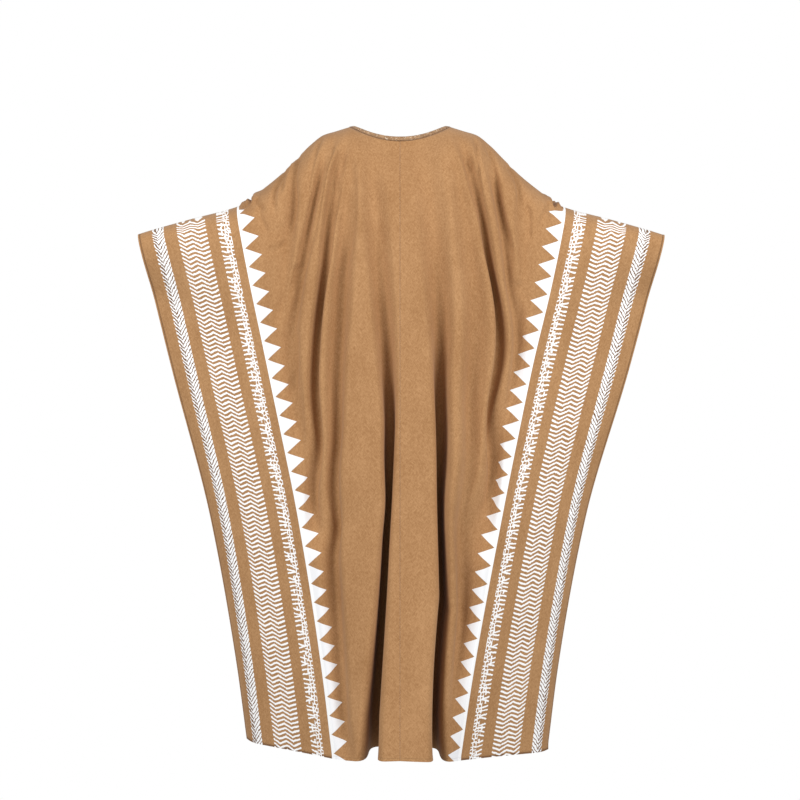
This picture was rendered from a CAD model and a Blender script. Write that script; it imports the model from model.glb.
"""Kaftan, worn with the arms held out: the cloth, its woven borders and its neck binding.

Lengths in the cloth are in millimetres, and MM turns them into metres where a mesh is made. Z is up,
the wearer's front is towards -Y, and the wearer's left is towards +X.
"""

import math

import bpy
import numpy as np
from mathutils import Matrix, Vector


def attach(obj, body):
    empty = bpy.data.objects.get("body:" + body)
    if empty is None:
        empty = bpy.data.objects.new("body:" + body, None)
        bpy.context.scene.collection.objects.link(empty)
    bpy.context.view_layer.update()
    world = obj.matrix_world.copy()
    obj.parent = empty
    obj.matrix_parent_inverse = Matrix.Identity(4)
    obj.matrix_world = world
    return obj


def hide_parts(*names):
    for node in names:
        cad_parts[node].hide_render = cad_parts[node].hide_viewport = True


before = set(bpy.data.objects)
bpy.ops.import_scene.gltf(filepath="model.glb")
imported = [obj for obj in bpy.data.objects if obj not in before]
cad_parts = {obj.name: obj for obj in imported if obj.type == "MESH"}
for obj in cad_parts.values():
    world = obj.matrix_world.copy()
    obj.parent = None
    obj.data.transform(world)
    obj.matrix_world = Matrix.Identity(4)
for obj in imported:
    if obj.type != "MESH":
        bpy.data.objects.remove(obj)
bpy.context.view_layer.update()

# ------------------------------------------------------------------------------ the body cloth
# Two halves of a matte brushed cloth, each cut in one over the shoulder and sewn along the middle of the
# back and the front. The garment is a wide rectangle, so the cloth that the body doesn't fill falls into
# long folds that get deeper towards the hem.

# In the cloth, s is the distance from the middle seam, and v goes from 0 on the top line to 1 on the hem.
MM = 0.001
MM_IN_METRE = 1000.0
WALL = 1.7  # the cloth with its nap
SEAM_GAP = 0.06  # sewn edges nearly touch
BODY_CLOTH = 400  # from the middle seam to the border
BORDER_CLOTH = 238
HALF_CLOTH = BODY_CLOTH + BORDER_CLOTH
NECK_HALF_WIDTH = 112
NECK_TOP = -2
STRIPE_DROP = 180  # how far below the origin the border's inner edge meets the top line
WRIST_DROP = 244  # and how far below it the top line ends
HEM = {"left": (-1379, -1392, -1378), "right": (-1379, -1396, -1402)}  # height at the middle, border and side
EDGE_DEPTH = 2.15  # the side seam's outer face, from the middle between back and front

# Over the shoulder and arm: the drop in which the cloth reaches its full depth, and how round it gets there.
SHOULDER_RISE, WRIST_RISE = 78, 34
NECK_SHARPNESS, SHOULDER_SHARPNESS = 1.15, 2
NECK_REACH = 129  # s by which the neck's slope has changed into the shoulder's round

# The arm fills the cloth from ARM_FROM outwards. It is gone a cuff's height down, and lower near the body.
ARM_FROM, ARM_DEPTH, ARM_DROP = 160, 30, 45
CUFF_HEIGHT, ARM_LOWER = 150, 0.7

# Across the cloth: how its turn grows towards the border, how its side rolls in, and how its folds bend.
TURN_POWER, MOST_TURN = 1.3, 1.3
EDGE_ROLL_WIDTH = 70
MOST_FOLD_ANGLE = math.radians(100)
MOST_FOLD_AMOUNT = 12
SOFT_FOLD, FIRM_FOLD = 1.3, 0.5
FOLD_GROWS_BY = 0.08  # v by which the folds are whole

# Seam allowances: height of the turned hem and how much thicker it is, width of the one at the sides, and
# the wall there, where back and front meet.
HEM_TURN, HEM_THICKER = 12, 0.8
SIDE_TURN, SIDE_SEAM_WALL = 8, 2.1

# Each line of the top: distance from the middle, height.
TOP_LINE = [
    (112, NECK_TOP),
    (144, -12),
    (170, -20),
    (198, -41),
    (234, -77),
    (270, -112),
    (318, -150),
    (345, -170),
    (366, -181),
    (470, -209),
    (553, -232),
    (592, -244),
]

# Each line of the worn outline: height, side seam left and right, border's inner edge left and right, depth
# of the back and of the front, and how far the side rolls in, in degrees.
OUTLINE_COLUMNS = ("z", "edge_left", "edge_right", "stripe_left", "stripe_right", "back", "front", "roll")
OUTLINE = [
    (0, 650, 656, 395, 400, 60, 78, 0),
    (-180, 605, 611, 361, 367, 118, 112, 0),
    (-365, 559, 564, 325, 329, 134, 130, 0),
    (-550, 513, 515, 286, 285, 140, 136, 8),
    (-880, 427, 418, 218, 217, 150, 142, 26),
    (-1210, 368, 357, 166, 156, 180, 172, 40),
    (-1388, 344, 334, 144, 129, 204, 196, 44),
]

# Each fold: side, then on the top line, a third and two thirds of the way down and on the hem, its middle in
# s, half of the cloth in it, and its strength. They are the centre, inner, shoulder, arm and elbow folds.
FOLDS = [
    (1, (70, 50, 116, 192), (40, 50, 104, 158), (0.3, 1, 1.6, 3)),
    (1, (105, 186, 334, 372), (28, 46, 46, 28), (0.7, 0.8, 0.3, 0)),
    (1, (120, 274, 370, 372), (26, 42, 36, 26), (1.6, 1.4, 0, 0)),
    (1, (168, 354, 370, 372), (26, 36, 30, 30), (1.6, 0.5, 0, 0)),
    (1, (260, 368, 370, 370), (28, 28, 28, 28), (1, 0, 0, 0)),
    (-1, (50, 112, 184, 226), (40, 56, 112, 150), (0.3, 0.9, 1.5, 3)),
    (-1, (104, 220, 335, 372), (26, 46, 56, 26), (0.5, 0.5, 0.15, 0)),
    (-1, (134, 308, 366, 372), (28, 46, 40, 26), (1.7, 1.5, 0, 0)),
    (-1, (206, 368, 370, 370), (30, 34, 30, 30), (1.5, 0.6, 0, 0)),
    (-1, (296, 372, 372, 372), (28, 26, 26, 26), (1, 0, 0, 0)),
]

# Back and front: which way the face looks, whose folds it has, and its half of the neck opening.
FACES = {
    "back": {"sign": 1, "folds_from": 1, "neck_depth": 62, "neck_drop": 36, "neck_rise": 120},
    "front": {"sign": -1, "folds_from": -1, "neck_depth": 84, "neck_drop": 112, "neck_rise": 110},
}
SIDES = {"left": 1, "right": -1}


def smooth(t):
    """3 t^2 - 2 t^3, with t held between 0 and 1."""
    t = np.clip(t, 0, 1)
    return t * t * (3 - 2 * t)


def mix(a, b, t):
    """a where t is 0, b where t is 1, and in proportion between."""
    return a + (b - a) * t


def curve(xs, ys):
    """A smooth curve through points: a cubic between neighbours, whose slope at each point is the harmonic
    mean of the slopes on its two sides, or zero where the curve turns back."""
    xs, ys = np.array(xs, float), np.array(ys, float)
    steps = np.diff(ys) / np.diff(xs)
    before, after = steps[:-1], steps[1:]
    same_way = before * after > 0
    inner = np.where(same_way, 2 * before * after / np.where(same_way, before + after, 1), 0)
    slopes = np.concatenate([steps[:1], inner, steps[-1:]])

    def at(x):
        x = np.clip(x, xs[0], xs[-1])
        k = np.clip(np.searchsorted(xs, x, side="right") - 1, 0, len(steps) - 1)
        width = xs[k + 1] - xs[k]
        t = (x - xs[k]) / width
        ends = slopes[k] * t * (1 - t) ** 2 - slopes[k + 1] * t * t * (1 - t)
        return mix(ys[k], ys[k + 1], t * t * (3 - 2 * t)) + width * ends

    return at


top_line = curve(*zip(*TOP_LINE))
outline = {
    name: curve([-line[0] for line in OUTLINE], [line[k] for line in OUTLINE])
    for k, name in enumerate(OUTLINE_COLUMNS)
}
fold_curves = [(side, *[curve((0, 1 / 3, 2 / 3, 1), four) for four in fours]) for side, *fours in FOLDS]


def side_name(side):
    return "left" if side > 0 else "right"


def top_spread(side):
    """Distance from the middle of the border's inner edge and of the wrist, on the top line."""
    return outline["stripe_" + side_name(side)](STRIPE_DROP), outline["edge_" + side_name(side)](WRIST_DROP)


def neck_end(side):
    """The cloth's s at the end of the neck opening."""
    return NECK_HALF_WIDTH * BODY_CLOTH / top_spread(side)[0]


def vertical_span(face, side, s):
    """Heights of the top line and the hem at s, and the depth of the neck's edge there. The neck line is an
    ellipse seen from above, and it drops towards its middle as 1 - x^2 does."""
    stripe, edge = top_spread(side)
    beyond = (s - BODY_CLOTH) / BORDER_CLOTH
    x = np.where(s < BODY_CLOTH, stripe * s / BODY_CLOTH, mix(stripe, edge, beyond))
    in_neck = 1 - np.minimum(1, x / NECK_HALF_WIDTH) ** 2
    top = np.where(x < NECK_HALF_WIDTH, NECK_TOP - face["neck_drop"] * in_neck, top_line(x))
    middle, inner, outer = HEM[side_name(side)]
    hem = np.where(s < BODY_CLOTH, mix(middle, inner, s / BODY_CLOTH), mix(inner, outer, beyond))
    return top, hem, face["neck_depth"] * np.sqrt(in_neck)


STATIONS = 320
STEP = HALF_CLOTH / STATIONS
BODY_STEPS = round(BODY_CLOTH / STEP)
HALVINGS = 40


def solve_falling(falling, target, low, high):
    """For each row, the value at which a falling function reaches the target, by halving again and again."""
    low, high = np.full(len(target), float(low)), np.full(len(target), float(high))
    for _ in range(HALVINGS):
        middle = (low + high) / 2
        above = falling(middle) > target
        low, high = np.where(above, middle, low), np.where(above, high, middle)
    return ((low + high) / 2)[:, None]


def fold_angle(folds, amount, s):
    """Sum over the folds of one odd wave each, a sine flattened as the fold gets stronger."""
    total = np.zeros((len(amount), len(s)))
    for centre, half, strength in folds:
        t = (s - centre[:, None]) / half[:, None]
        share = 1 - np.exp(-amount * strength[:, None])
        softness = mix(SOFT_FOLD, FIRM_FOLD, share**2)
        wave = np.sin(np.pi * t)
        flattened = wave * np.sqrt(1 + softness**2) / np.sqrt(wave**2 + softness**2)
        total += np.where(np.abs(t) < 1, MOST_FOLD_ANGLE * share * flattened, 0)
    return total


def cross_lines(face, side, v):
    """For each v, the distance from the middle and the depth at every station of the cloth. The cloth turns
    by an angle at each s, slowly towards the side seam and quickly in the folds, and the steps along it are
    added up. The turn and the strength of the folds are those that give the outline's widths."""
    name = side_name(side)

    def height_at(s):
        top, hem, _ = vertical_span(face, side, np.array(float(s)))
        return -mix(top, hem, v)

    edge = outline["edge_" + name](height_at(HALF_CLOTH))
    stripe = outline["stripe_" + name](height_at(BODY_CLOTH))
    middle_depth = outline["back" if face["sign"] > 0 else "front"](height_at(0))
    roll = np.radians(outline["roll"](height_at(HALF_CLOTH)))[:, None]
    middles = (np.arange(STATIONS) + 0.5) * STEP
    body, border = middles[:BODY_STEPS], middles[BODY_STEPS:]

    def border_angles(turn):
        return -turn - roll * smooth((border - HALF_CLOTH + EDGE_ROLL_WIDTH) / EDGE_ROLL_WIDTH)

    def width(angles):
        return STEP * np.cos(angles).sum(axis=1)

    turn = solve_falling(lambda t: width(border_angles(t[:, None])), edge - stripe, 0, MOST_TURN)
    folds = [
        (centre(v), half(v), strength(v))
        for fold_side, centre, half, strength in fold_curves
        if fold_side == side * face["folds_from"]
    ]

    def body_angles(amount):
        return -turn * (body / BODY_CLOTH) ** TURN_POWER + fold_angle(folds, amount, body)

    amount = solve_falling(lambda a: width(body_angles(a[:, None])), stripe, 0, MOST_FOLD_AMOUNT)
    grown = amount * smooth(v / FOLD_GROWS_BY)[:, None]
    angles = np.hstack([body_angles(grown), border_angles(turn)])
    x = np.pad(np.cumsum(STEP * np.cos(angles), axis=1), ((0, 0), (1, 0)))
    y = np.pad(np.cumsum(STEP * np.sin(angles), axis=1), ((0, 0), (1, 0)))
    at_stripe = x[:, BODY_STEPS : BODY_STEPS + 1]
    stripe, edge = stripe[:, None], edge[:, None]
    body_x, border_x = x[:, : BODY_STEPS + 1], x[:, BODY_STEPS + 1 :]
    border_share = (border_x - at_stripe) / (x[:, -1:] - at_stripe)
    x = np.hstack([body_x * stripe / at_stripe, stripe + border_share * (edge - stripe)])
    y = y - y[:, -1:] + EDGE_DEPTH
    towards_middle = np.cos(np.pi / 2 * np.arange(STATIONS + 1) / STATIONS) ** 2
    return x, y + (middle_depth[:, None] - y[:, :1]) * towards_middle


def arm_depth(s, drop):
    """Extra depth that the arm gives near the top, out to the cuff."""
    share = smooth((s - ARM_FROM) / (HALF_CLOTH - ARM_FROM))
    fade_end = CUFF_HEIGHT + ARM_LOWER * (HALF_CLOTH - s)
    return ARM_DEPTH * share * (1 - smooth((drop - ARM_DROP) / (fade_end - ARM_DROP)))


def shoulder_round(face, s, drop):
    """Share of the full depth at a drop below the top line: a slope behind the neck, and an ellipse over the
    shoulder."""
    from_neck = smooth(s / NECK_REACH)
    height = mix(face["neck_rise"], mix(SHOULDER_RISE, WRIST_RISE, smooth(s / HALF_CLOTH)), from_neck)
    power = 1 / mix(NECK_SHARPNESS, SHOULDER_SHARPNESS, from_neck)
    return (1 - (1 - np.clip(drop / height, 0, 1)) ** 2) ** power


def quarter_points(face, side, s, v):
    """Outer points of a quarter of the garment on the grid of v by s, and the drop below the top line."""
    x, y = cross_lines(face, side, v)
    k = np.minimum(STATIONS - 1, (s / STEP).astype(int))
    t = s / STEP - k
    top, hem, neck_edge = vertical_span(face, side, s)
    drop = v[:, None] * (top - hem)
    full_depth = mix(y[:, k], y[:, k + 1], t) + arm_depth(s, drop)
    share = shoulder_round(face, s, drop)
    depth = mix(neck_edge, np.maximum(full_depth, neck_edge), share)
    across = mix(x[:, k], x[:, k + 1], t)
    return np.stack([side * across, face["sign"] * depth, top - drop], axis=-1), drop


def unit(vectors):
    return vectors / np.linalg.norm(vectors, axis=-1, keepdims=True)


def outward(points, turn):
    """Unit normals of a grid of points, from the differences to its neighbours."""
    return unit(np.cross(np.gradient(points, axis=1), np.gradient(points, axis=0)) * turn)


ROWS = 190
ROW_CROWDING = 1.6  # more than 1 puts more rows near the top
rows_v = (np.arange(ROWS + 1) / ROWS) ** ROW_CROWDING

# Creases of the cloth, one line each: its places, as distance from the middle seam and drop below the top
# line, half its width, and its height, which is below zero for a trough. The back's left half and the
# front's left half have the creases of side 1 and of side -1, and the right halves the other way round.
CREASES = {
    1: [
        (((192, 4), (212, 36), (238, 82), (252, 112)), 6, -5),
        (((166, 6), (169, 44), (193, 107), (210, 147), (230, 184), (266, 224), (305, 262)), 9, -7),
        (((156, 12), (154, 44), (140, 70), (136, 97), (142, 130)), 6, -2.5),
        (((146, 120), (157, 162), (172, 203), (201, 285), (240, 350), (268, 400)), 10, -6.5),
        (((108, 60), (110, 166), (131, 257), (166, 333), (187, 504)), 12, -4),
        (((244, 1), (253, 11), (266, 42), (278, 83), (290, 117), (300, 145)), 6.5, -8),
        (((262, 2), (270, 14), (283, 34), (290, 60)), 5, 3.5),
        (((280, 1), (285, 8), (308, 24), (316, 40), (321, 58), (326, 82)), 6, -7),
        (((286, 24), (292, 32), (300, 46)), 4, -3),
        (((346, -10), (358, 0), (362, 12), (362, 26)), 7, 5),
        (((369, -12), (370, 2), (371, 16)), 3.6, -9),
        (((357, 12), (355, 22), (348, 40), (338, 58)), 4.5, -5),
        (((354, 28), (354, 55), (351, 80), (344, 105)), 6, -4),
        (((314, 140), (330, 146), (347, 138), (362, 130)), 6, -2.5),
        (((326, 98), (330, 128)), 14, -3),
        (((296, 200), (309, 228), (341, 255), (366, 302)), 12, -5),
        (((318, 330), (332, 392), (373, 449)), 12, -4),
        (((373, 6), (381, -2), (390, -1), (399, 4)), 4, 5),
        (((376, 13), (384, 10), (396, 11)), 3.4, -5),
    ],
    -1: [
        (((184, 8), (187, 36), (194, 92), (200, 118), (202, 140)), 5.5, -6),
        (((158, 50), (160, 107), (171, 140), (183, 196), (203, 253), (216, 300)), 11, -4),
        (((202, 4), (221, 24), (231, 43), (248, 82), (270, 124), (298, 160), (322, 194)), 8, -6.5),
        (((262, 2), (268, 10), (285, 22), (298, 50), (306, 96)), 7, -8),
        (((312, 46), (329, 78), (334, 100), (342, 124)), 7, -5),
        (((362, 12), (364, 20), (356, 43), (352, 92)), 4.5, -5),
        (((373, 14), (371, 26), (367, 49)), 4, -4),
        (((355, -10), (365, 0), (369, 12), (369, 26)), 7, 4.5),
        (((375, -12), (376, 2), (377, 16)), 3.6, -9),
        (((384, -10), (386, 0), (386, 14)), 4.5, 6),
        (((348, 26), (345, 40), (340, 56)), 4, -1.5),
        (((330, 210), (352, 240), (358, 300)), 12, -4),
    ],
}
CREASE_POINTS = 90
CREASE_STARTS_IN, CREASE_ENDS_IN = 0.15, 0.3  # shares of its length in which it fades in and out
CREASE_REACH = 3  # widths from its line to where it has faded


def crease_height(s, drop, creases):
    """Sum over the creases of height x exp(-(distance from its line / width)^2), fading towards both ends.
    Each line is a smooth curve through its places."""
    total = np.zeros(drop.shape)
    t = np.linspace(0, 1, CREASE_POINTS)
    fade = smooth(t / CREASE_STARTS_IN) * smooth((1 - t) / CREASE_ENDS_IN)
    for places, width, height in creases:
        knots = np.linspace(0, 1, len(places))
        line_s, line_drop = [curve(knots, values)(t) for values in zip(*places)]
        if line_s.max() + CREASE_REACH * width < s.min():
            continue
        away = np.hypot(s[..., None] - line_s, drop[..., None] - line_drop)
        total += height * fade[away.argmin(axis=-1)] * np.exp(-((away.min(axis=-1) / width) ** 2))
    return total


# How far down the pattern's rows are on the top line, against the distance from the middle seam. There the
# rows run along the arm within each band, and from LEVEL_BY below it they are level.
TOP_ROWS = ((400, 425, 454, 479, 547, 577, 605, 638), (176, 186, 186, 202, 202, 226, 226, 240))
LEVEL_BY = 30
SEAM_GROOVE, SEAM_GROOVE_WIDTH = 0.8, 2  # the middle seam's groove: depth, half width
NECK_GROOVE, NECK_GROOVE_WIDTH = 1.2, 2.2  # and the one that the binding's stitches pull in


def half_garment(side, columns):
    """Both faces of one side over the columns of cloth given, joined over the shoulder and arm. Returns the
    outer points, the unit normals, the UV maps and the quads, with the neck opening left open."""
    seam_groove = SEAM_GROOVE * np.exp(-((columns / SEAM_GROOVE_WIDTH) ** 2))
    joined = columns >= neck_end(side) - 1e-6
    at_seam = columns < SEAM_GAP
    maps = []
    for face in FACES.values():
        grid, drop = quarter_points(face, side, columns, rows_v)
        up = outward(grid, side * face["sign"])
        up[0, joined, 1] = 0
        up[:, at_seam, 0] = 0
        up = unit(up)
        across = np.broadcast_to(columns, drop.shape)
        creases = crease_height(across, drop, CREASES[side * face["folds_from"]])
        neck_groove = NECK_GROOVE * np.exp(-((drop / NECK_GROOVE_WIDTH) ** 2)) * ~joined
        grid = grid + up * (creases - seam_groove - neck_groove)[..., None]
        down = mix(np.interp(columns, *TOP_ROWS), -grid[..., 2], smooth(drop / LEVEL_BY))
        cloth = np.stack([across, down], axis=-1)
        edges = np.stack([HALF_CLOTH - across, drop[-1:] - drop], axis=-1)
        maps.append([a.reshape(-1, a.shape[-1]) for a in (grid, up, cloth, edges)])
    index = np.arange(2 * (ROWS + 1) * len(columns)).reshape(2, ROWS + 1, len(columns))
    index[1, 0, joined] = index[0, 0, joined]
    quads = []
    for face, grid in zip(FACES.values(), index):
        corners = [grid[:-1, :-1], grid[:-1, 1:], grid[1:, 1:], grid[1:, :-1]]
        if side * face["sign"] < 0:
            corners.reverse()
        quads.append(np.stack(corners, axis=-1).reshape(-1, 4))
    used, quads = np.unique(np.concatenate(quads), return_inverse=True)
    return [np.concatenate(both)[used] for both in zip(*maps)], quads.reshape(-1, 4)


SHARP_FROM = math.radians(60)


def wall_object(name, outer, normals, thickness, cloth, edges, quads):
    """A closed wall: the outer sheet, the same sheet moved in along its normals, and a rim along their open
    edges, which are the sides of quads that no other quad shares."""
    count = len(outer)
    inner = outer - normals * np.asarray(thickness)[..., None]
    directed = np.stack([quads, np.roll(quads, -1, axis=1)], axis=-1).reshape(-1, 2)
    forward, backward = directed @ [count, 1], directed @ [1, count]
    a, b = directed[~np.isin(forward, backward)].T
    rim = np.stack([b, a, a + count, b + count], axis=-1)
    faces = np.concatenate([quads, quads[:, ::-1] + count, rim])
    mesh = bpy.data.meshes.new(name)
    mesh.vertices.add(2 * count)
    mesh.vertices.foreach_set("co", (np.concatenate([outer, inner]) * MM).ravel())
    mesh.loops.add(faces.size)
    mesh.loops.foreach_set("vertex_index", faces.ravel())
    mesh.polygons.add(len(faces))
    mesh.polygons.foreach_set("loop_start", np.arange(len(faces)) * 4)
    mesh.update(calc_edges=True)
    for map_name, uv in (("cloth", cloth), ("edges", edges)):
        layer = mesh.uv_layers.new(name=map_name)
        layer.data.foreach_set("uv", (np.tile(uv, (2, 1))[faces.ravel()] * MM).ravel())
    outside = mesh.attributes.new("outside", "FLOAT", "POINT")
    outside.data.foreach_set("value", np.repeat([1.0, 0.0], count))
    mesh.polygons.foreach_set("use_smooth", np.ones(len(faces), bool))
    mesh.set_sharp_from_angle(angle=SHARP_FROM)
    piece = bpy.data.objects.new(name, mesh)
    bpy.context.scene.collection.objects.link(piece)
    return piece


class Shade:
    """A socket of a material. Arithmetic on it adds Math nodes, and node adds any other node."""

    def __init__(self, tree, socket=None):
        self.tree, self.socket = tree, socket

    def node(self, kind, settings, sockets, output=0):
        made = self.tree.nodes.new("ShaderNode" + kind)
        for name, value in settings.items():
            setattr(made, name, value)
        for name, value in sockets.items():
            if isinstance(value, Shade):
                self.tree.links.new(value.socket, made.inputs[name])
            else:
                made.inputs[name].default_value = value
        return Shade(self.tree, made.outputs[output])

    def math(self, operation, *values):
        return self.node("Math", {"operation": operation}, dict(enumerate(values)))

    def __add__(self, other):
        return self.math("ADD", self, other)

    def __sub__(self, other):
        return self.math("SUBTRACT", self, other)

    def __rsub__(self, other):
        return self.math("SUBTRACT", other, self)

    def __mul__(self, other):
        return self.math("MULTIPLY", self, other)

    def __truediv__(self, other):
        return self.math("DIVIDE", self, other)

    def __abs__(self):
        return self.math("ABSOLUTE", self)

    def fract(self):
        return self.math("FRACT", self)

    def at_least(self, other):
        return self.math("MAXIMUM", self, other)

    def at_most(self, other):
        return self.math("MINIMUM", self, other)

    def floor(self):
        return self.math("FLOOR", self)

    def with_length(self, other):
        """Length of the slope whose sides are the two values."""
        return self.math("SQRT", self * self + other * other)

    def ramp(self, low, high):
        """0 at low, 1 at high, smooth between."""
        rising = high > low
        ends = {"From Min": min(low, high), "From Max": max(low, high)}
        ends |= {"To Min": 0.0 if rising else 1.0, "To Max": 1.0 if rising else 0.0}
        return self.node("MapRange", {"interpolation_type": "SMOOTHSTEP"}, {"Value": self, **ends})

    def colours(self, low, high):
        """The colour low where the value is 0 and high where it is 1."""
        return self.node("Mix", {"data_type": "RGBA"}, {0: self, 6: low, 7: high}, output=2)


def linear(red, green, blue):
    """A colour given as 0 to 255 on a screen, as the shader wants it."""
    share = np.array([red, green, blue]) / 255
    return (*np.where(share <= 0.04045, share / 12.92, ((share + 0.055) / 1.055) ** 2.4), 1.0)


MATTE = {"Specular IOR Level": 0.18, "Sheen Weight": 0.12, "Sheen Roughness": 0.5}


class Cloth(Shade):
    """A cloth's material: its maps, in millimetres of cloth, and its shader."""

    def __init__(self, name):
        self.material = bpy.data.materials.new(name)
        self.material.use_nodes = True
        super().__init__(self.material.node_tree)
        self.shader = self.tree.nodes["Principled BSDF"]
        for socket, value in MATTE.items():
            self.shader.inputs[socket].default_value = value
        self.across, self.down = self.split("cloth")
        self.from_side, self.above_hem = self.split("edges")
        self.outside = self.node("Attribute", {"attribute_name": "outside"}, {}, output=2)
        self.place = self.node("TexCoord", {}, {}, output=3)

    def split(self, map_name):
        uv = self.node("UVMap", {"uv_map": map_name}, {})
        metres = [self.node("SeparateXYZ", {}, {"Vector": uv}, output=k) for k in (0, 1)]
        return [length * MM_IN_METRE for length in metres]

    def noise(self, scale, detail=2.0, rough=0.5, stretch=1.0, lean=0.0):
        """Noise on Object coordinates, with this many cells to a metre, each stretched along a line that
        leans from the upright by this angle to the side."""
        turned = {"Vector": self.place, "Rotation": (0, lean, 0), "Scale": (1, 1, stretch)}
        vector = self.node("Mapping", {"vector_type": "TEXTURE"}, turned)
        sockets = {"Vector": vector, "Scale": scale, "Detail": detail, "Roughness": rough}
        return self.node("TexNoise", {"noise_dimensions": "3D"}, sockets)

    def wander(self, scale, reach, rough=0.5):
        """Noise that goes this many millimetres to either side of 0."""
        return self.noise(scale, rough=rough) * (2 * reach) - reach

    def chance(self, count, seed):
        """A number from 0 to 1 for each whole count."""
        return self.node("TexWhiteNoise", {"noise_dimensions": "1D"}, {"W": count + seed})

    def net(self, x, y):
        """Distance to the nearest edge of an uneven net with cells one wide, at the place (x, y)."""
        cells = {"voronoi_dimensions": "2D", "feature": "DISTANCE_TO_EDGE"}
        place = self.node("CombineXYZ", {}, {0: x, 1: y})
        return self.node("TexVoronoi", cells, {"Vector": place, "Scale": 1.0, "Randomness": 0.75})

    def finish(self, colour, rough, height, depth):
        """Links the colour and the roughness, and the height as a bump this many millimetres deep."""
        bump = self.node("Bump", {}, {"Strength": 1.0, "Distance": depth * MM, "Height": height})
        links = {"Base Color": colour, "Roughness": rough, "Normal": bump}
        for name, value in links.items():
            self.tree.links.new(value.socket, self.shader.inputs[name])
        return self.material


BODY_DARK, BODY_LIGHT = linear(153, 110, 69), linear(189, 145, 101)
EDGE_SHADE = linear(104, 72, 46)
WHITE, WOVEN_WHITE = linear(252, 252, 252), linear(238, 238, 240)
TRIANGLE_PITCH = 40
TRIANGLE_HEIGHT = 34
TRIANGLE_TOP, TOP_SOFT = -191, 1.5  # no white shows above this level, where the cloth is rolled over the arm
TRIANGLE_TIP = 0.32  # share of the way down its base
TRIANGLES = {"left": (197, 40.8), "right": (222, 39.5)}  # level of the first, and how far apart they hang


# The nap: cells to a metre of its flecks, patches and fuzz, the flecks' stretch and leans, and the nap's
# values where the cloth is darkest and lightest.
FLECKS, PATCHES, FUZZ = 380, 14, 1500
FLECK_STRETCH, FLECK_LEANS = 3.0, (0.7, -0.6)
NAP_RANGE = (0.3, 0.72)
STITCH_INSET, STITCH_PITCH = 6.0, 3.4
BUMP = 0.5  # depth of the nap, the stitches and the woven pattern


def nap(cloth):
    """Brushed nap: short flecks that lie both ways across the cloth, over soft patches. It is about 0.5 on
    average."""
    one_way, other_way = [cloth.noise(FLECKS, stretch=FLECK_STRETCH, lean=lean) for lean in FLECK_LEANS]
    patches = cloth.noise(PATCHES, detail=3.0, rough=0.55, stretch=2.0)
    fuzz = cloth.noise(FUZZ, rough=0.6, stretch=2.0)
    return one_way.at_least(other_way) * 0.55 + patches * 0.25 + fuzz * 0.2 - 0.04


def stitch_row(from_edge, along):
    """1 in a stitch of the row that runs along an edge, inside it."""
    in_row = abs(from_edge - STITCH_INSET).ramp(1.0, 0.3)
    return in_row * abs((along / STITCH_PITCH).fract() - 0.5).ramp(0.42, 0.3)


def stitched_edges(cloth):
    """1 in a stitch of the hem and of the side edges."""
    return stitch_row(cloth.above_hem, cloth.across).at_least(stitch_row(cloth.from_side, cloth.down))


def body_material():
    cloth = Cloth("body_cloth")
    grain = nap(cloth)
    # Triangles woven along the border, with their points towards the middle.
    ragged = cloth.wander(700, 0.8, 0.6)
    part = (cloth.down / TRIANGLE_PITCH).fract()
    side = (part / TRIANGLE_TIP).at_most((1.0 - part) / (1 - TRIANGLE_TIP))
    inward = BODY_CLOTH - cloth.across
    level = cloth.node("SeparateXYZ", {}, {"Vector": cloth.place}, output=2) * MM_IN_METRE
    shown = level.ramp(TRIANGLE_TOP + TOP_SOFT, TRIANGLE_TOP - TOP_SOFT) * cloth.outside
    triangles = (side * TRIANGLE_HEIGHT - inward + ragged).ramp(-0.5, 0.7) * shown
    stitches = stitched_edges(cloth)
    tan = grain.ramp(*NAP_RANGE).colours(BODY_DARK, BODY_LIGHT)
    tan = (cloth.across.ramp(1.4, 0.4) * 0.35).colours(tan, EDGE_SHADE)
    white = inward.ramp(1.0, 4.5).colours(WHITE, WOVEN_WHITE)
    colour = triangles.colours(tan, white)
    height = grain * 0.9 + triangles * 0.35 - stitches * 0.8
    return cloth.finish(colour, grain * 0.2 + 0.78, height, BUMP)


# Columns of cloth: those for the groove at the middle seam, where the even ones begin, and how many there
# are by the neck, from there to the border, and in the border.
GROOVE_COLUMNS, EVEN_FROM = (SEAM_GAP / 2, 1, 2.2, 4), 7
NECK_COLUMNS, ARM_COLUMNS, BORDER_COLUMNS = 24, 94, 60
HEM_STEP, SIDE_STEP = 2, 3  # over how much cloth the wall gets thicker at the hem and at the sides


def body_columns(side):
    """Cloth columns of a body half, with one at the end of the neck opening."""
    end = neck_end(side)
    by_neck = np.linspace(EVEN_FROM, end, NECK_COLUMNS)
    by_arm = np.linspace(end, BODY_CLOTH - SEAM_GAP / 2, ARM_COLUMNS)
    return np.concatenate([GROOVE_COLUMNS, by_neck, by_arm[1:]])


def cloth_wall(name, side, columns, material, first=0, stretch=1):
    """One piece of the garment on one side, which stands for its back and front solids. Its pattern starts at
    the level first, stretched by a factor down the cloth."""
    (outer, normals, cloth, edges), quads = half_garment(side, columns)
    cloth[:, 1] = (cloth[:, 1] - first) / stretch
    hem = smooth((HEM_TURN - edges[:, 1]) / HEM_STEP)
    side_seam = smooth((SIDE_TURN - edges[:, 0]) / SIDE_STEP)
    thickness = mix(WALL * (1 + HEM_THICKER * hem), SIDE_SEAM_WALL, side_seam)
    piece = wall_object(name, outer, normals, thickness, cloth, edges, quads)
    piece.data.materials.append(material)
    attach(piece, "root")
    part = name.split("_")[0]
    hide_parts(*[f"{part}_{face}_{side_name(side)}" for face in FACES])
    return piece


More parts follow.
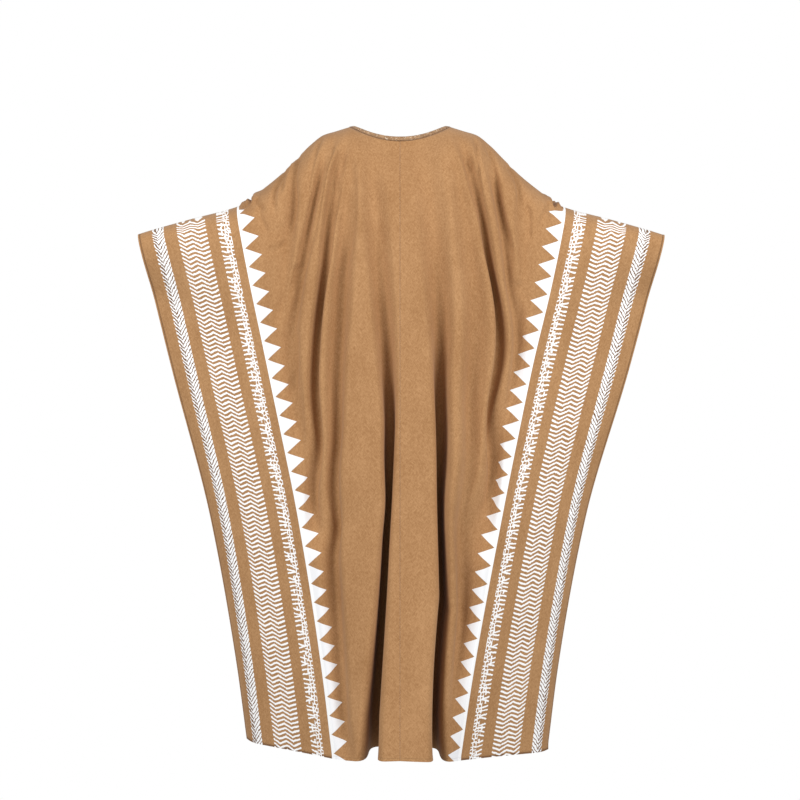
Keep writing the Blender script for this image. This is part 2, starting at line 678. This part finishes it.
body_cloth = body_material()
for name, side in SIDES.items():
    first, pitch = TRIANGLES[name]
    columns = body_columns(side)
    stretch = pitch / TRIANGLE_PITCH
    cloth_wall("body_" + name, side, columns, body_cloth, first, stretch)

# ------------------------------------------------------------------------------ the border panels
# A strip of the same cloth down each side, over the arm in one piece, with four rows of white pattern: a
# plait near the open edge, a wide zigzag, a twisted cord with bars, and a plain line where it meets the
# triangles. A place across the pattern is its s.
BORDER_DARK, BORDER_LIGHT = linear(154, 112, 71), linear(190, 147, 103)
GAP_SHADE = linear(116, 84, 57)  # between the plait's strands
PITCH = 9.6  # from one row of the pattern to the next
LINE = (400, 405)
CORD = (425, 454)
ZIGZAG = (479, 547)
PLAIT = (577, 605)

# The zigzag: how far a row would fall over the whole width on its first slope, and its bends, each a share
# of the width and the change of that fall.
ZIGZAG_FALL = 25.6
ZIGZAG_BENDS = ((0.27, -59.2), (0.526, 60.8), (0.78, -70.4))
HALF_ROW, HALF_BAR = 2.1, 1.8  # half the thickness of the zigzag's and the bold strands, and of the bars
DASH_SOFT = 0.45

# The cord, from its side towards the middle seam: where the bars end, where the ties lie, and where the
# loops end.
BARS_END, TIES_FROM, TIES_SPREAD, LOOPS_END = (8, 11), 12.0, 9.0, (15, 12)
BAR_LEAN = 0.7  # the steepest bar leans by half of this
LOOP_WIDTH, LOOP_HEIGHT = 7.2, 8.4

# The plait: slope and reach of the close strands from the inner edge, and of the bold ones from the outer.
CLOSE_SLOPE, CLOSE_END = 1.25, (17.4, 16.6)
BOLD_SLOPE, BOLD_START, BOLD_END, BOLD_SHIFT = 1.1, 2.4, (11.8, 11.0), 0.3


def between(value, low, high, soft=0.5):
    """1 from low to high, with edges this soft."""
    return value.ramp(low - soft, low + soft) * value.ramp(high + soft, high - soft)


def dash(off_row, past_end, half):
    """1 in a dash with round ends, from the distance to its middle line, the distance past the middle of its
    end, and half its thickness."""
    off_line = off_row.with_length(past_end.at_least(0.0))
    return off_line.ramp(half + DASH_SOFT, half - DASH_SOFT)


def from_row(rows):
    """Distance from the middle of the nearest row, given in rows."""
    return (rows.fract() - 0.5) * PITCH


def zigzag_rows(across, down):
    """Rows that run in from a high end, dip, rise, dip again and end high, in straight stretches."""
    low, high = ZIGZAG
    part = (across - low) * (1 / (high - low))
    fall = part * ZIGZAG_FALL
    for place, change in ZIGZAG_BENDS:
        fall = fall + (part - place).at_least(0.0) * change
    past_end = (low + HALF_ROW - across).at_least(across - (high - HALF_ROW))
    return dash(from_row((down - fall) / PITCH), past_end, HALF_ROW)


def twisted_cord(cloth, across, down):
    """Bars from the outer side that lean to one another, some tied in pairs, and a net of loops on the inner
    side. The bars' leans and ties are drawn at random for each row."""
    low, high = CORD
    count = (down / PITCH).floor()
    inwards = high - across
    lean = (cloth.chance(count, 3.5) - 0.5) * inwards * BAR_LEAN
    bars = dash(from_row(down / PITCH) - lean, inwards * -1.0 + 2.0, HALF_BAR)
    bars = bars * across.ramp(*[low + end for end in BARS_END])
    tie_place = cloth.chance(count, 8.5) * TIES_SPREAD + (low + TIES_FROM)
    ties = abs(across - tie_place).ramp(2.1, 1.3) * cloth.chance(count, 15.5).ramp(0.5, 0.55)
    loops = cloth.net(across / LOOP_WIDTH, down / LOOP_HEIGHT).ramp(0.22, 0.12)
    loops = loops * across.ramp(*[low + end for end in LOOPS_END])
    return bars.at_least(ties).at_least(loops) * between(across, low, high)


def plait_rows(across, down):
    """Close oblique strands from the inner edge and bolder ones from the outer edge, which meet in a V."""
    from_inner = across - PLAIT[0]
    from_outer = PLAIT[1] - across
    close_phase = (down - from_inner * CLOSE_SLOPE) / PITCH
    close = abs(close_phase.fract() - 0.5).ramp(0.37, 0.31) * from_inner.ramp(*CLOSE_END)
    off_row = from_row((down - from_outer * BOLD_SLOPE) / PITCH + BOLD_SHIFT)
    bold = dash(off_row, BOLD_START - from_outer, HALF_ROW) * from_outer.ramp(*BOLD_END)
    return close.at_least(bold) * between(across, *PLAIT)


def border_material():
    cloth = Cloth("border_cloth")
    grain = nap(cloth)
    wander, ragged = cloth.wander(70, 2.5), cloth.wander(420, 1.5, 0.6)
    across, down = cloth.across + ragged, cloth.down + wander + ragged
    line = between(cloth.across, LINE[0] - 1, LINE[1])
    rows = zigzag_rows(across, down).at_least(plait_rows(across, down + cloth.wander(150, 4.5, 0.6)))
    pattern = rows.at_least(twisted_cord(cloth, across, down)).at_least(line) * cloth.outside
    stitches = stitched_edges(cloth)
    tan = grain.ramp(*NAP_RANGE).colours(BORDER_DARK, BORDER_LIGHT)
    gaps = between(cloth.across, PLAIT[0] + 1, PLAIT[1] - 3)
    tan = (gaps * 0.9).colours(tan, GAP_SHADE)
    # The shade of the folded edges.
    side_fold = abs(cloth.from_side - 4.2).ramp(2.0, 0.7)
    hem_fold = cloth.above_hem.ramp(5.5, 3.5)
    tan = (side_fold.at_least(hem_fold) * 0.75).colours(tan, EDGE_SHADE)
    colour = pattern.colours(tan, WHITE)
    height = grain * 0.7 + pattern * 0.5 - stitches * 0.8
    return cloth.finish(colour, grain * 0.2 + 0.76, height, BUMP)


border_cloth = border_material()
for name, side in SIDES.items():
    columns = np.linspace(BODY_CLOTH + SEAM_GAP / 2, HALF_CLOTH, BORDER_COLUMNS)
    piece = cloth_wall("border_" + name, side, columns, border_cloth)

# ------------------------------------------------------------------------------ the neck binding
# A narrow strip of heathered brown cloth, folded over the neck edge and sewn down, so it is a little round.
EDGE_POINTS, SECTION_POINTS = 40, 20  # on each quarter of the neck edge, and round the strip
BINDING_WIDTH = 10
BINDING_LAP = 1.6  # how far it laps over the edge of the cloth
BINDING_SLOPE, BINDING_SIDE_SLOPE = 2.4, 0.2  # rise over run towards the neck, behind and beside it
BINDING_LIFT, BINDING_HALF_THICK = -0.4, 1.5  # its middle over the cloth's face, and half its thickness
REACH_SQUARENESS, HEIGHT_SQUARENESS = 0.5, 0.6  # less than 1 makes the section squarer
RIB_PITCH = 1.6
BINDING_DARK, BINDING_LIGHT = linear(132, 97, 66), linear(190, 152, 114)
BINDING_PALE = linear(226, 206, 180)


def neck_edge_loop():
    """Outer points of the cloth's neck edge, once round from the left shoulder over the back."""
    runs = []
    for face, side in (("back", 1), ("back", -1), ("front", -1), ("front", 1)):
        share = np.sin(np.linspace(0, 1, EDGE_POINTS) * np.pi / 2)
        s = share * (neck_end(side) - SEAM_GAP / 2) + SEAM_GAP / 2
        run = quarter_points(FACES[face], side, s, np.array([0.0, 0.001]))[0][0]
        runs.append(run[:0:-1] if side * FACES[face]["sign"] > 0 else run[:-1])
    return np.concatenate(runs)


def signed_power(value, power):
    return np.sign(value) * np.abs(value) ** power


def binding_section():
    """Reach towards the neck and height over the cloth, once round the strip's rounded section."""
    turn = np.linspace(0, 2 * np.pi, SECTION_POINTS, endpoint=False)
    share = 0.5 - 0.5 * signed_power(np.cos(turn), REACH_SQUARENESS)
    height = BINDING_LIFT + BINDING_HALF_THICK * signed_power(np.sin(turn), HEIGHT_SQUARENESS)
    return (BINDING_WIDTH + BINDING_LAP) * share - BINDING_LAP, height


def binding_object():
    """The strip, as a ring of its sections along the neck edge, each of which leans in and up."""
    edge = neck_edge_loop()
    along = unit(np.roll(edge, -1, axis=0) - np.roll(edge, 1, axis=0))
    inward = edge.mean(axis=0) - edge
    inward[:, 2] = 0
    inward = unit(inward - (inward * along).sum(axis=1, keepdims=True) * along)
    inward[:, 2] += mix(BINDING_SIDE_SLOPE, BINDING_SLOPE, 1 - np.abs(edge[:, 0]) / NECK_HALF_WIDTH)
    inward = unit(inward)
    up = unit(np.cross(along, inward))
    up *= np.where(up[:, 2:] < 0, -1, 1)
    reach, height = binding_section()
    rings = edge[:, None] + inward[:, None] * reach[:, None] + up[:, None] * height[:, None]
    count, around = rings.shape[:2]
    index = np.arange(count * around).reshape(count, around)
    next_ring, next_point = np.roll(index, -1, axis=0), np.roll(index, -1, axis=1)
    both = np.roll(next_ring, -1, axis=1)
    faces = np.stack([index, next_ring, both, next_point], axis=-1).reshape(-1, 4)
    length = np.cumsum(np.linalg.norm(np.roll(edge, -1, axis=0) - edge, axis=1))
    cloth = np.stack(np.broadcast_arrays(reach[None, :], length[:, None]), axis=-1).reshape(-1, 2)
    mesh = bpy.data.meshes.new("neck_binding")
    mesh.from_pydata((rings.reshape(-1, 3) * MM).tolist(), [], faces.tolist())
    layer = mesh.uv_layers.new(name="cloth")
    layer.data.foreach_set("uv", (cloth[faces.ravel()] * MM).ravel())
    mesh.polygons.foreach_set("use_smooth", np.ones(len(faces), bool))
    piece = bpy.data.objects.new("neck_binding_strip", mesh)
    bpy.context.scene.collection.objects.link(piece)
    return piece


def binding_material():
    cloth = Cloth("binding_cloth")
    flecks = cloth.noise(900, rough=0.6)
    patches = cloth.noise(140)
    share = (flecks * 0.7 + patches * 0.3).ramp(0.38, 0.62)
    from_rib = (cloth.down / RIB_PITCH).fract() - 0.5
    ribs = from_rib * from_rib * 2.0
    colour = share.colours(BINDING_DARK, BINDING_LIGHT)
    pale = cloth.noise(260, detail=1.0, rough=0.4).ramp(0.62, 0.68) * 0.7
    colour = pale.colours(colour, BINDING_PALE)
    sewn_down = (cloth.across - cloth.noise(40) * 2.4).ramp(0.2, -0.8) * 0.6
    colour = sewn_down.colours(colour, EDGE_SHADE)
    return cloth.finish(colour, share * 0.1 + 0.8, share - ribs, 0.4)


binding = binding_object()
binding.data.materials.append(binding_material())
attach(binding, "root")
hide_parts("neck_binding")

# ------------------------------------------------------------------------------ the studio
# A white backdrop, soft light from two large panels above and to the sides, and a level camera behind the
# wearer.
CAMERA_DISTANCE = 4.0
CAMERA_HEIGHT = -0.425
IMAGE_SIDE = 800
FOCAL_PIXELS = 1776
HORIZON_PIXEL = 315  # the camera's height, in the picture
ROOM_LIGHT = 0.37
PANEL_SIZE = 1.7
LIT_PLACE = (0, 0, -0.7)  # the middle of the garment

# Each panel of light: its name, place and power.
PANELS = [("key", (-2.5, 2.5, 0.8), 108), ("fill", (2.7, 2.5, 0.7), 100)]


def panel(name, place, power):
    """A square area light at a place, turned to the middle of the garment."""
    light = bpy.data.lights.new(name, "AREA")
    light.size, light.energy = PANEL_SIZE, power
    lamp = bpy.data.objects.new(name, light)
    lamp.location = place
    lamp.rotation_euler = (Vector(LIT_PLACE) - Vector(place)).to_track_quat("-Z", "Y").to_euler()
    bpy.context.scene.collection.objects.link(lamp)


def white_room():
    """A world that looks white and lights the garment less than it looks, as a lit backdrop does."""
    world = bpy.data.worlds.new("studio")
    world.use_nodes = True
    nodes, links = world.node_tree.nodes, world.node_tree.links
    seen, light = nodes["Background"], nodes.new("ShaderNodeBackground")
    seen.inputs["Color"].default_value = light.inputs["Color"].default_value = (1, 1, 1, 1)
    seen.inputs["Strength"].default_value = 1.0
    light.inputs["Strength"].default_value = ROOM_LIGHT
    either, path = nodes.new("ShaderNodeMixShader"), nodes.new("ShaderNodeLightPath")
    links.new(path.outputs["Is Camera Ray"], either.inputs[0])
    links.new(light.outputs[0], either.inputs[1])
    links.new(seen.outputs[0], either.inputs[2])
    links.new(either.outputs[0], nodes["World Output"].inputs["Surface"])
    return world


for name, place, power in PANELS:
    panel(name, place, power)
bpy.context.scene.world = white_room()
bpy.context.scene.view_settings.view_transform = "Standard"

lens = bpy.data.cameras.new("camera")
lens.sensor_width = 36
lens.lens = FOCAL_PIXELS * lens.sensor_width / IMAGE_SIDE
lens.shift_y = (HORIZON_PIXEL - IMAGE_SIDE / 2) / IMAGE_SIDE
camera = bpy.data.objects.new("camera", lens)
camera.location = (0, CAMERA_DISTANCE, CAMERA_HEIGHT)
camera.rotation_euler = (math.pi / 2, 0, math.pi)
bpy.context.scene.collection.objects.link(camera)
bpy.context.scene.camera = camera
